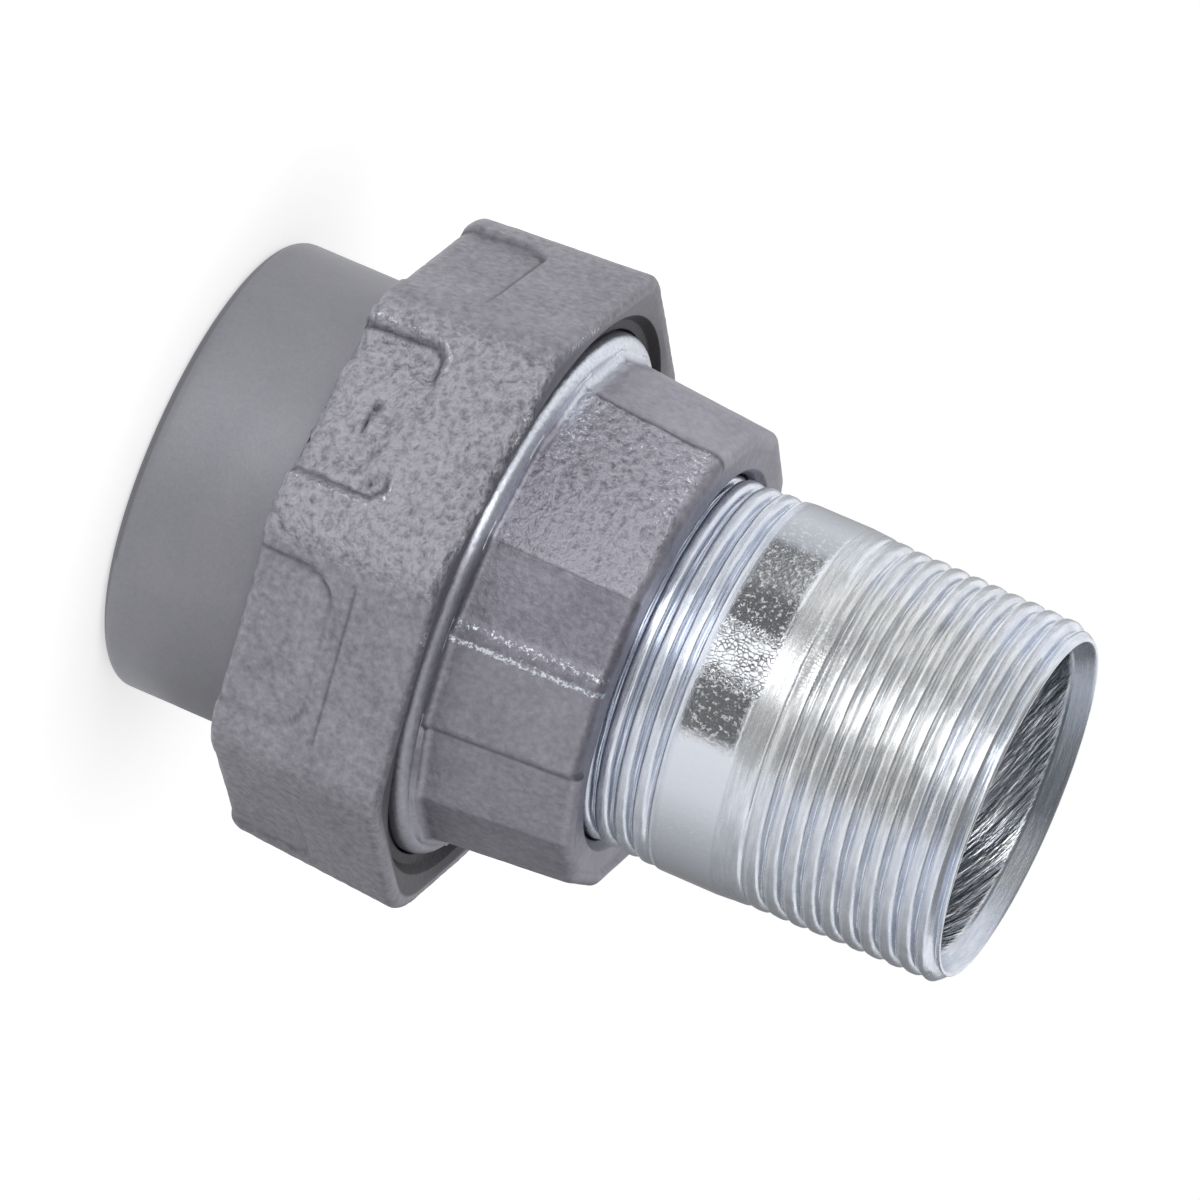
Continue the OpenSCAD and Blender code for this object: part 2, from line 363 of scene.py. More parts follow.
def skin_tree():
    """Raises the lumps and hollows of a sand-cast skin, as high as each point's mark says."""
    tree, given = new_geometry_tree("cast skin", ["Lump", "Grain", "Seed"])
    place = add_node(tree, "GeometryNodeInputPosition").outputs[0]
    heights = []
    for size, detail in (("Lump", 1.0), ("Grain", 3.0)):
        bumps = add_node(tree, "ShaderNodeTexNoise", {"noise_dimensions": "4D"}, {
            "Vector": place, "W": given["Seed"], "Scale": maths(tree, "DIVIDE", 1.0, given[size]),
            "Detail": detail})
        heights.append(add_node(tree, "ShaderNodeMapRange", {"clamp": False}, {
            "Value": bumps.outputs[0], "From Min": 0.3, "From Max": 0.7,
            "To Min": -1.0, "To Max": 1.0}).outputs[0])
    raised = maths(tree, "MULTIPLY", maths(tree, "ADD", *heights), own_mark(tree, "skin_height"))
    offset = add_node(tree, "ShaderNodeVectorMath", {"operation": "SCALE"}, {
        0: add_node(tree, "GeometryNodeInputNormal").outputs[0], "Scale": raised})
    close_geometry_tree(tree, given, offset.outputs[0])
    return tree


def shape_with(piece, tree, sizes, material):
    """Runs a tree on a piece and keeps the result as its plain mesh."""
    modifier = piece.modifiers.new(tree.name, "NODES")
    modifier.node_group = tree
    for socket in tree.interface.items_tree:
        if socket.in_out == "INPUT" and socket.name in sizes:
            modifier[socket.identifier] = float(sizes[socket.name])
        elif socket.in_out == "INPUT" and socket.name == "Material":
            modifier[socket.identifier] = material
    view = bpy.context.evaluated_depsgraph_get()
    made = bpy.data.meshes.new_from_object(piece.evaluated_get(view))
    piece.modifiers.clear()
    piece.data = made
    made.name = piece.name


# Materials

def empty_material(name):
    material = bpy.data.materials.new(name)
    material.use_nodes = True
    material.node_tree.nodes.clear()
    return material, material.node_tree


def metal_material(name):
    """A material to be finished as metal, its tree and its Object coordinates."""
    material, tree = empty_material(name)
    place = add_node(tree, "ShaderNodeTexCoord").outputs["Object"]
    return material, tree, place


def mark_of(tree, name):
    """A mark that a piece carries on its points."""
    return add_node(tree, "ShaderNodeAttribute", {"attribute_name": name}).outputs["Fac"]


def add_surface(tree, shader):
    add_node(tree, "ShaderNodeOutputMaterial", links={"Surface": shader.outputs[0]})


def finish_metal(tree, base, roughness, height, relief):
    """Metal with a colour, a roughness and a bump, of which relief is the height in millimetres."""
    bump = add_node(tree, "ShaderNodeBump", links={
        "Strength": 1.0, "Distance": relief * MM, "Height": height})
    add_surface(tree, add_node(tree, "ShaderNodeBsdfPrincipled", links={
        "Base Color": base, "Metallic": 1.0, "Roughness": roughness, "Normal": bump.outputs[0]}))


# Patterns of the cast iron, in millimetres, and shares of its grain on a fine and on a coarse skin
CLOUD_SIZE = 6
FLECK_SIZE = 0.4
GRAIN_TONE = (0.45, 1.5)
GRAIN_RELIEF = (0.16, 1.0)
PLATE_ROUGHNESS = 0.3


def cast_iron_material(name, tones, roughness, grain, relief, seed):
    """Malleable iron, sand cast and zinc plated. Its tones are dark, light, bright and a painted shade.

    The plate is thin, so the eye sees the satin grey of the skin under it: matt, a little violet,
    grainy where the sand was coarse, lighter or darker on facets where light and shade are painted,
    darker with painted shade in hollows, recesses and under edges, and bright where an edge is worn
    and where a highlight is painted.
    """
    material, tree, place = metal_material(name)
    rough_skin, wear_and_sheen, plate, painted_shade, tone_and_shading = (
        mark_of(tree, mark) for mark in ("rough_skin", "wear_and_sheen", "plate", "painted_shade", "tone_and_shading"))
    dark, light, bright, shade_colour = (colour(code) for code in tones)
    clouds = noise(tree, place, CLOUD_SIZE, 3, seed=seed).outputs[0]
    speckle = noise(tree, place, grain, 4, 0.62, seed + 1).outputs[0]
    cloud_tone = remap(tree, clouds, 0.35, 0.65, 0.4, 0.6)
    grain_tone = remap(tree, speckle, 0.3, 0.7, -0.55, 0.55)
    grain_share = remap(tree, rough_skin, 0, 1, *GRAIN_TONE)
    grainy = maths(tree, "MULTIPLY_ADD", grain_tone, grain_share, cloud_tone)
    # Painted light and shade join the grain here, where a piece's mark lightens or darkens whole facets
    skin = mix(tree, "RGBA", maths(tree, "ADD", grainy, tone_and_shading), dark, light)
    # Painted shade: darkens the skin towards a dark grey in hollows, recesses and under edges
    shaded_skin = mix(tree, "RGBA", painted_shade, skin, shade_colour)
    # Worn edges and painted highlights: the mark says where, a fine noise breaks it into specks
    flecks = noise(tree, place, FLECK_SIZE, 4, 0.7, seed + 2).outputs[0]
    fleck_sum = maths(tree, "MULTIPLY_ADD", wear_and_sheen, 0.32, flecks)
    worn_and_highlit = remap(tree, fleck_sum, 0.74, 0.86, kind="SMOOTHSTEP")
    # The plate shines, and on the body's shoulder it also carries a painted highlight
    plated = maths(tree, "MULTIPLY", remap(tree, flecks, 0.38, 0.62, 0.65, 1.0), plate)
    shiny = maths(tree, "MAXIMUM", worn_and_highlit, plated)
    mottle = remap(tree, speckle, 0, 1, roughness - 0.06, roughness + 0.08)
    gloss = mix(tree, "FLOAT", shiny, mottle, PLATE_ROUGHNESS)
    relief_share = remap(tree, rough_skin, 0, 1, *GRAIN_RELIEF)
    height = maths(tree, "MULTIPLY", speckle, relief_share)
    finish_metal(tree, mix(tree, "RGBA", shiny, shaded_skin, bright), gloss, height, relief)
    return material


# Patterns of the plated steel, in millimetres, and the heights that they bump by
LINE_SIZE, LINE_HEIGHT = 0.55, 0.045
GOUGE_SIZE, GOUGE_HEIGHT = 0.9, 0.3
WANDER_SIZE, WANDER_HEIGHT = 1.5, 0.012
SCALE_SIZE, SCALE_HEIGHT = 0.48, 0.016
PIMPLE_SIZE, PIMPLE_HEIGHT = 0.5, 0.005
GRAIN_HEIGHT = 0.016
SCALE_STRAY = 0.9


def plated_steel_material():
    """Steel pipe, bright zinc plated.

    A near mirror with fine scales on the plain stretch, a duller sheen with turning lines along
    the threads, and a scratched bore.
    """
    material, tree, place = metal_material("bright zinc-plated steel")
    bore, plain, crazed, blue_sheen, mouth_shade = (
        mark_of(tree, mark) for mark in ("bore", "plain", "crazed", "blue_sheen", "mouth_shade"))
    # Cylindrical coordinates: the cutter's marks run round the axis, and the bore's run askew to it
    x, y, z = add_node(tree, "ShaderNodeSeparateXYZ", links={0: place}).outputs
    angle = maths(tree, "ARCTAN2", y, x)
    lathe = add_node(tree, "ShaderNodeCombineXYZ", links={0: maths(tree, "MULTIPLY", angle, 2 * MM), 2: z})
    lines = noise(tree, lathe.outputs[0], LINE_SIZE, 5, 0.7).outputs[0]
    arc = maths(tree, "MULTIPLY", angle, BORE_R * MM)
    over = maths(tree, "MULTIPLY_ADD", z, -2.4, arc)
    along = maths(tree, "MULTIPLY_ADD", arc, 0.4, z)
    drag = add_node(tree, "ShaderNodeCombineXYZ", links={
        0: maths(tree, "MULTIPLY", over, 0.38), 1: maths(tree, "MULTIPLY", along, 0.16)})
    gouges = noise(tree, drag.outputs[0], GOUGE_SIZE, 4, 0.6).outputs[0]
    # Zinc scales: crazed cells with sunken edges, and a fine grain over the whole plain stretch
    wander = noise(tree, place, WANDER_SIZE, 2)
    strayed = add_node(tree, "ShaderNodeVectorMath", {"operation": "MULTIPLY_ADD"}, {
        0: wander.outputs["Color"], 1: [SCALE_STRAY * MM] * 3, 2: place})
    edge = add_node(tree, "ShaderNodeTexVoronoi", {"feature": "DISTANCE_TO_EDGE"}, {
        "Vector": strayed.outputs[0], "Scale": per_mm(SCALE_SIZE)}).outputs["Distance"]
    craze = maths(tree, "MULTIPLY", remap(tree, edge, 0, 0.16, 0, SCALE_HEIGHT, "SMOOTHSTEP"), crazed)
    crack = remap(tree, edge, 0.03, 0.2, 0.85, 0, "SMOOTHSTEP")
    torn = remap(tree, wander.outputs[0], 0.4, 0.6, 0.6, 1.0, "SMOOTHSTEP")
    cracked = maths(tree, "MULTIPLY", crack, maths(tree, "MULTIPLY", torn, crazed))
    grain = noise(tree, place, PIMPLE_SIZE, 4, 0.7).outputs[0]
    pimples = remap(tree, grain, 0.56, 0.68, 0, PIMPLE_HEIGHT, "SMOOTHSTEP")
    grained = maths(tree, "MULTIPLY_ADD", grain, GRAIN_HEIGHT, craze)
    plain_height = maths(
        tree, "MULTIPLY_ADD", wander.outputs[0], WANDER_HEIGHT, maths(tree, "ADD", pimples, grained))
    line_height = maths(tree, "MULTIPLY_ADD", lines, LINE_HEIGHT, craze)
    gouge_height = maths(tree, "MULTIPLY", gouges, GOUGE_HEIGHT)
    outside_height = mix(tree, "FLOAT", plain, line_height, plain_height)
    # Colours: warm outside, bluish and lighter where a reflection is painted, dark along the cracks,
    # streaked in the bore
    smoother = maths(tree, "MAXIMUM", remap(tree, lines, 0.35, 0.65), plain)
    warm_tone = mix(tree, "RGBA", smoother, colour("#bcbfc2"), colour("#f3f4f5"))
    cool_tone = mix(tree, "RGBA", smoother, colour("#ccd3e0"), colour("#e8edf7"))
    clean_tone = mix(tree, "RGBA", blue_sheen, warm_tone, cool_tone)
    outside_tone = mix(tree, "RGBA", cracked, clean_tone, colour("#34363c"))
    scratched = remap(tree, gouges, 0.4, 0.6)
    bore_tone = mix(tree, "RGBA", scratched, colour("#b4b9c3"), colour("#f4f6f8"))
    clear_tone = mix(tree, "RGBA", bore, outside_tone, bore_tone)
    outside_gloss = mix(tree, "FLOAT", plain, remap(tree, lines, 0.35, 0.65, 0.34, 0.18), 0.10)
    # Painted shade darkens the colour in the bevel of the mouth towards a dark grey
    finish_metal(
        tree, mix(tree, "RGBA", mouth_shade, clear_tone, colour("#818894")),
        mix(tree, "FLOAT", bore, outside_gloss, 0.24),
        mix(tree, "FLOAT", bore, outside_height, gouge_height), 1)
    return material


# The hub: a plain barrel with a female pipe thread, and the collar and cone inside the nut

def make_hub(thread, skin, material):
    r, z, _ = rounded_loop([
        (TAP_R + TAP_BEVEL, HUB_Z, 0.15, 0.6, 0),
        (HUB_R, HUB_Z, HUB_EDGE, 0.7, 0),
        (HUB_R, COLLAR_Z, 0.3, 0.5, 0),
        (COLLAR_R, COLLAR_Z, 0.3, 0.7, 0),
        (COLLAR_R, CONE_Z, 0.3, 0.5, 0),
        (CONE_R, CONE_Z, 0.2, 0.5, 0),
        (CONE_R - (CONE_TOP - CONE_Z), CONE_TOP, 0.3, 0.6, 0),
        (BORE_R, CONE_TOP, 0.4, 0.9, 0),
        (BORE_R, TAP_DEPTH, 0.2, 0.5, 0),
        (TAP_R, TAP_DEPTH, 0.1, 0.15, 0),
        (TAP_R, HUB_Z + TAP_BEVEL, 0.1, 0.3, 0),
    ])
    phi, alpha = around(HUB_COLUMNS)
    r, z = r[:, None] + 0 * phi, z[:, None] + 0 * phi
    # The lower edge of the end is ground a little askew
    ground = (z < HUB_GRIND) * (1 - z / HUB_GRIND)
    z = z + HUB_ASKEW * ground * np.maximum(-np.sin(np.radians(alpha)), 0) ** 4
    inside = (r < TAP_R + 0.05) & (z < TAP_DEPTH - 0.05)
    depth = np.where(inside, -TAP_THREAD_DEPTH * smooth((TAP_DEPTH - z) / 3) * smooth((z - 0.2) / 1.4), 0)
    outside = (r > HUB_R - 0.05) & (z < COLLAR_Z)
    hub = ring_piece("hub_casting", r, z, phi, {
        "thread_depth": depth * MM,
        "skin_height": np.where(outside, 0.012, 0) * MM,
        "rough_skin": 0.0,
        "wear_and_sheen": 0.0,
        "plate": 0.0,
        # Painted shade: darker towards the nut, in the tapped bore and along the lowest edge of the end
        "painted_shade": 0.55 * smooth((z - NUT_Z + 2.6) / 3.2) * outside + 0.5 * inside + 0.4 * (z < 0.9),
        "tone_and_shading": 0.0,
    })
    shape_with(hub, thread, {
        "Pitch": PIPE_PITCH * MM, "Fullness": 1.4, "Batter": 0.05, "Seed": 1}, material)
    shape_with(hub, skin, {"Lump": 9 * MM, "Grain": 2.5 * MM, "Seed": 2}, material)
    return hub


# The nut: drafted flats, a shallow pocket in each, a captive lip and a threaded bore

# The pocket in each flat: length, corner rounding, depth at its lower and its upper edge, slant,
# sideways place, and how much its end wall fades halfway. The first flat faces the viewer, and the
# others follow upwards
POCKETS = [
    (10.6, 2.2, 0.90, 1.00, -0.05, 0.6, 0.85),
    (10.3, 2.6, 0.80, 0.80, 0.02, 0.0, 0),
    (9.0, 3.0, -0.50, 0.75, -0.03, 0.2, 0),
    (10.4, 3.6, 0.60, 0.60, 0.05, -0.2, 0),
    (10.0, 2.4, 0.80, 0.80, 0.00, 0.0, 0),
    (9.7, 3.2, 0.75, 0.75, 0.04, 0.3, 0),
    (10.6, 3.8, 0.45, 0.20, -0.05, 0.0, 0),
    (10.4, 4.4, 0.55, 0.65, -0.02, 0.0, 0.6),
]
POCKET_HALF = 9.9
POCKET_WALL = 0.8
# The lower front flat also carries the straight end line of an older pocket
PRINT_FLAT = 7
PRINT_LINE = 11.9
PRINT_DEPTH = 0.14
# A raised bead runs along part of the rim of the pocket that faces the viewer
BEAD_HEIGHT = 0.2
# Sand holes in that pocket: along and across the flat, half length, half width
PITS = [(5.3, 1.2, 0.35, 0.5), (5.1, -0.7, 0.22, 1.5), (8.7, -7.2, 0.32, 0.35)]
PIT_DEPTH = 0.4
# The nut is loose, so it hangs a little askew, and the corner that faces down is blunt. Its mouth
# also leans where it faces away and down
NUT_LEAN = 0.42
MOUTH_LEAN_AWAY = 0.22
MOUTH_LEAN_DOWN = 0.25
NUT_CORNER = 7
BLUNT_CORNER = 12
BLUNT_SIDE = (-112, -75)
# Side that was cast against coarse sand, and stretches of the mouth's rim that have rubbed bright:
# angles, soft width, strength
COARSE_SIDE = (-7, 40)
RIM_WEAR = [(44, 62, 8, 0.7), (20, 34, 6, 0.6), (-16, -12, 2, 1), (2, 6, 2, 1)]


def pocket_edge(across, along, number):
    """Distance inwards from the rim of the pockets on a flat, and their depth."""
    length, corner, low, high, slant, aside, fade = (np.array(POCKETS)[number, k] for k in range(7))
    over_x = np.abs(across - aside) - (POCKET_HALF - corner)
    over_y = along - slant * across - (length - corner)
    outside = np.hypot(np.maximum(over_x, 0), np.maximum(over_y, 0))
    depth = low + (high - low) * (across / POCKET_HALF + 1) / 2
    faded = fade * smooth((along - length + 4.5) / 3.5) * band(across, -6, 6, 2.5)
    return corner - outside - np.minimum(np.maximum(over_x, over_y), 0), np.maximum(depth, 0) * (1 - faded)


def make_nut(thread, skin, material):
    r, z, share = rounded_loop([
        (HUB_R + PLAY, NUT_Z, 0.3, 0.8, 0),
        (NUT_FLAT - 2.2, NUT_Z, 0, 0.5, 0.9),
        (NUT_FLAT, NUT_Z, 1.6, 0.3, 1),
        (NUT_FLAT + NUT_FLARE, NUT_TOP, 1.1, 0.4, 1),
        (NUT_FLAT + NUT_FLARE - 1.6, NUT_TOP, 0, 0.4, 0.85),
        (MOUTH_STEP_R + 0.9, NUT_TOP, 0.25, 0.3, 0),
        (MOUTH_STEP_R, NUT_TOP - MOUTH_STEP, 0.1, 0.4, 0),
        (NUT_BORE_R, NUT_TOP - MOUTH_STEP, 0.1, UNION_ROWS, 0),
        (NUT_BORE_R, LIP_Z, 0.2, 0.8, 0),
        (HUB_R + PLAY, LIP_Z, 0.2, 0.8, 0),
    ])
    phi, alpha = around(NUT_COLUMNS)
    theta, number = from_flat(alpha, NUT_TURN, NUT_SIDES)
    r, z, share = (np.broadcast_to(a[:, None], (len(a), len(phi))) for a in (r, z, share))
    along = (z - NUT_Z) / (NUT_TOP - NUT_Z)
    corner = NUT_CORNER + (BLUNT_CORNER - NUT_CORNER) * band(alpha, *BLUNT_SIDE, 8)
    flats = flats_radius(r, theta, NUT_SIDES, corner)
    across = flats * np.sin(np.radians(theta))
    outer = smooth((share - 0.9) / 0.1)
    inwards, deep = pocket_edge(across, z - NUT_Z, number)
    sunk = deep * smooth(inwards / POCKET_WALL) * outer
    line = band(z - NUT_Z, PRINT_LINE - 0.15, PRINT_LINE + 0.15, 0.3) * band(across, -9.4, 9.4, 0.6)
    line = line * (number == PRINT_FLAT) * outer
    bead = band(inwards, -1.15, -0.75, 0.4) * outer * (number == 0) * (across > 4) * (z < NUT_Z + 11)
    cut = sunk + PRINT_DEPTH * line - BEAD_HEIGHT * bead
    radius = r + (flats - r) * share - cut / np.cos(np.radians(theta))
    pits = sum(
        np.exp(-((z - NUT_Z - x) / long) ** 2 - ((across - y) / wide) ** 2) for x, y, long, wide in PITS)
    pits = pits * (number == 0) * outer
    radius = radius - PIT_DEPTH * pits
    far, down = 1 - np.cos(np.radians(alpha)), np.maximum(-np.sin(np.radians(alpha)), 0)
    lean = along * (MOUTH_LEAN_AWAY * far + MOUTH_LEAN_DOWN * down)
    lean = lean - (1 - along) * NUT_LEAN * np.sin(np.radians(alpha))
    z = z + lean * smooth(share * 2)
    bore = (r < NUT_BORE_R + 0.05) & (z > LIP_Z + 0.05) & (z < NUT_TOP - MOUTH_STEP - 0.02)
    fading = smooth((NUT_TOP - MOUTH_STEP - z) / 1.2) * smooth((z - LIP_Z) / 2)
    depth = np.where(bore, UNION_DEPTH * fading, 0)
    coarse = band(alpha, *COARSE_SIDE, 6) * outer
    rim = band(along, 0.985, 1.01, 0.010) * outer
    worn = np.maximum.reduce([band(alpha, low, high, soft) * much for low, high, soft, much in RIM_WEAR])
    marked = np.clip(deep, 0, 1) * outer * (along < 0.7)
    pocket_rim = band(inwards, -0.45, 0.1, 0.4) * marked * band(alpha, -20, 41, 1)
    pocket_foot = band(inwards, 0.35, 0.9, 0.4) * marked
    hidden = (r < MOUTH_STEP_R + 0.85) & (z > LIP_Z - 0.5)
    mouth_face = (share < 0.9) & (along > 0.8) & ~hidden
    nut = ring_piece("union_nut_casting", radius, z, phi, {
        "thread_depth": depth * MM,
        "skin_height": (0.03 + 0.19 * coarse) * outer * MM,
        "rough_skin": np.clip(coarse + 0.3 * outer, 0, 1),
        "wear_and_sheen": rim * worn + 0.2 * coarse + 0.6 * pocket_rim,
        "plate": 0.0,
        # Painted shade: the hidden bore, the feet of the pocket walls, the print line, the pits and the
        # mouth's face, most where it faces down
        "painted_shade": np.clip(
            hidden + 0.7 * pocket_foot + 0.5 * line + 0.8 * pits + mouth_face * (0.25 + 0.5 * down), 0, 1),
        "tone_and_shading": 0.30 * coarse + 0.10 * band(alpha, -120, -36, 10),
    })
    shape_with(nut, thread, {
        "Pitch": UNION_PITCH * MM, "Fullness": 1.3, "Batter": 0.04, "Seed": 3}, material)
    shape_with(nut, skin, {"Lump": 3.0 * MM, "Grain": 1.0 * MM, "Seed": 4}, material)
    return nut


# The body: a threaded skirt, a plated shoulder and a drafted block of flats

BODY_CORNER = 1.6
# The two halves of the mould met at two corners, given by their angles. The lower half sat a little
# inwards and towards the nipple
SPLITS = (-36.2, 143.8)
LOWER_IN = 0.14
LOWER_UP = 0.45
# A coarse patch, a groove beside it, and a ridge with a painted highlight line along each side. The
# painted highlights of the lines and of the ridge between them are angles, soft width, strength
PATCH = (8.8, 53.8)
GROOVE = (53.0, 54.6)
GROOVE_DEPTH = 0.25
RIDGE = (-14.4, -9.8)
RIDGE_HEIGHT = 0.12
RIDGE_HIGHLIGHTS = [(-15.8, -13.9, 1.3, 0.62), (-11.6, -9.4, 1.5, 0.42), (-15.2, -10.0, 1.2, 0.42)]
# Painted shadow lines: at the step where the mould split, and at the upper edge of the patch
SHADOW_LINES = [(-37.0, -35.8), (53.0, 54.2)]
# Painted highlight: the side of the shoulder where the plate is painted bright, and where it spills
# onto the flats
HIGHLIGHT_SIDE = (6, 110)
HIGHLIGHT_SPILL_SIDE = (42, 100)
# Painted light and shade: each facet is painted a little lighter or darker, from the one that faces
# the viewer upwards
FACET_SHADING = [0, 0.1, 0.3, 0.2, 0.2, 0, 0.1, 0, -0.1, 0, 0.1, 0, -0.05, 0.1, 0, -0.3]


def make_body(thread, skin, material):
    mouth = PIPE_R + TIGHT_PLAY
    end_flat = BODY_FLAT - BODY_TAPER
    r, z, share = rounded_loop([
        (UNION_R, SKIRT_Z, 0.6, 0.17, 0),
        (UNION_R, RELIEF_Z, 0.1, 0.4, 0),
        (RELIEF_R, RELIEF_Z, 0.1, 0.4, 0),
        (RELIEF_R, SHOULDER_Z, 0.1, 0.4, 0),
        (UNION_R, SHOULDER_Z, 0.2, 0.3, 0),
        (UNION_R, SHOULDER_TOP, 1.4, 0.25, 0),
        (BODY_FLAT, SHOULDER_TOP, 0.9, 0.32, 1),
        (end_flat, BODY_TOP, 1.4, 0.5, 1),
        (end_flat - 2, BODY_TOP, 0, 0.4, 0.8),
        (mouth + 0.9, BODY_TOP, 0.2, 0.3, 0),
        (mouth, BODY_TOP - 0.9, 0.1, 0.9, 0),
        (mouth, NIPPLE_Z - 0.2, 0.1, 0.9, 0),
        (BORE_R, NIPPLE_Z - 0.2, 0.1, 0.9, 0),
        (BORE_R, SEAT_Z, 0.2, 0.9, 0),
        (CONE_R + SEAT_PLAY - (SEAT_Z - CONE_Z), SEAT_Z, 0.2, 0.5, 0),
        (CONE_R + SEAT_PLAY - (SKIRT_Z - CONE_Z), SKIRT_Z, 0.2, 0.5, 0),
    ])
    phi, alpha = around(BODY_COLUMNS)
    theta, number = from_flat(alpha, BODY_TURN, BODY_SIDES)
    r, z, share = (np.broadcast_to(a[:, None], (len(a), len(phi))) for a in (r, z, share))
    flats = flats_radius(r, theta, BODY_SIDES, BODY_CORNER)
    radius = r + (flats - r) * share
    skirt = (r > UNION_R - 0.05) & (z < RELIEF_Z)
    depth = np.where(skirt, UNION_DEPTH * smooth((z - SKIRT_Z) / 1.6), 0)
    outer = smooth((share - 0.8) / 0.2)
    flat_rows = outer * (z > SHOULDER_TOP)
    low_end, high_end = SPLITS
    lower = band(alpha, high_end - 360, low_end, 0.8) + band(alpha, high_end, low_end + 360, 0.8)
    radius = radius - LOWER_IN * lower * outer
    z = z + LOWER_UP * lower * outer
    patch = band(alpha, *PATCH, 1.5) * band(z, SHOULDER_TOP + 0.6, BODY_TOP - 0.9, 1.2) * flat_rows
    groove = band(alpha, *GROOVE, 1.2) * band(z, 41, 53, 2) * flat_rows
    ridge = band(alpha, *RIDGE, 1.4) * flat_rows
    lines = sum(band(alpha, low, high, soft) * much for low, high, soft, much in RIDGE_HIGHLIGHTS) * flat_rows
    shadow_lines = sum(band(alpha, low, high, 0.8) for low, high in SHADOW_LINES) * flat_rows
    radius = radius + RIDGE_HEIGHT * ridge - GROOVE_DEPTH * groove
    shoulder = (r > BODY_FLAT + 0.4) * (z > SHOULDER_Z + 0.1)
    highlight_side = band(alpha, *HIGHLIGHT_SIDE, 16)
    under = (z < SHOULDER_Z + 0.7) & (z > SHOULDER_Z - 0.2) & (r > RELIEF_R - 0.1)
    union_thread = (z <= SHOULDER_Z - 0.2) & (r > RELIEF_R - 0.1)
    highlight_spill = band(alpha, *HIGHLIGHT_SPILL_SIDE, 8) * band(z, SHOULDER_TOP - 3, SHOULDER_TOP + 1.6, 0.9) * outer
    # Painted highlight: the front facet grows lighter towards its lower edge
    highlight_below_patch = 0.4 * np.clip((31.3 - alpha) / 22.5, 0, 1) * (number == 0)
    patch_ends = 1 - band(z, SHOULDER_TOP + 3.5, BODY_TOP - 3.5, 3)
    white_specks = patch * (0.2 + 0.3 * band(alpha, 28, 60, 16) + 0.2 * patch_ends)
    body = ring_piece("threaded_body_casting", radius, z, phi, {
        "thread_depth": depth * MM,
        "skin_height": (0.012 + 0.09 * patch) * outer * MM,
        "rough_skin": patch,
        # Painted highlights along both sides of the ridge and on it, and white specks on the patch, more
        # on its upper facets and at its ends
        "wear_and_sheen": lines + white_specks,
        # The plate on the shoulder, painted brighter as a highlight on its upper side and spilling onto
        # the flats
        "plate": np.clip(np.maximum(shoulder * (0.15 + 0.85 * highlight_side), 0.8 * highlight_spill), 0, 1),
        # Painted shade under the shoulder, less on its highlit side, over the thread inside the nut, and
        # painted shadow lines at the steps
        "painted_shade": np.clip(under * (1 - 0.9 * highlight_side) + 0.6 * union_thread + 0.55 * shadow_lines, 0, 1),
        # Painted light and shade on each facet, the painted highlight on the front facet, and a lighter
        # patch
        "tone_and_shading": (np.array(FACET_SHADING)[number] + highlight_below_patch + 0.3 * patch) * flat_rows,
    })
    shape_with(body, thread, {
        "Pitch": UNION_PITCH * MM, "Fullness": 1.3, "Batter": 0.04, "Seed": 5}, material)
    shape_with(body, skin, {"Lump": 2.4 * MM, "Grain": 1.1 * MM, "Seed": 6}, material)
    return body


# The nipple: pipe with a taper thread at both ends and a plain stretch between them

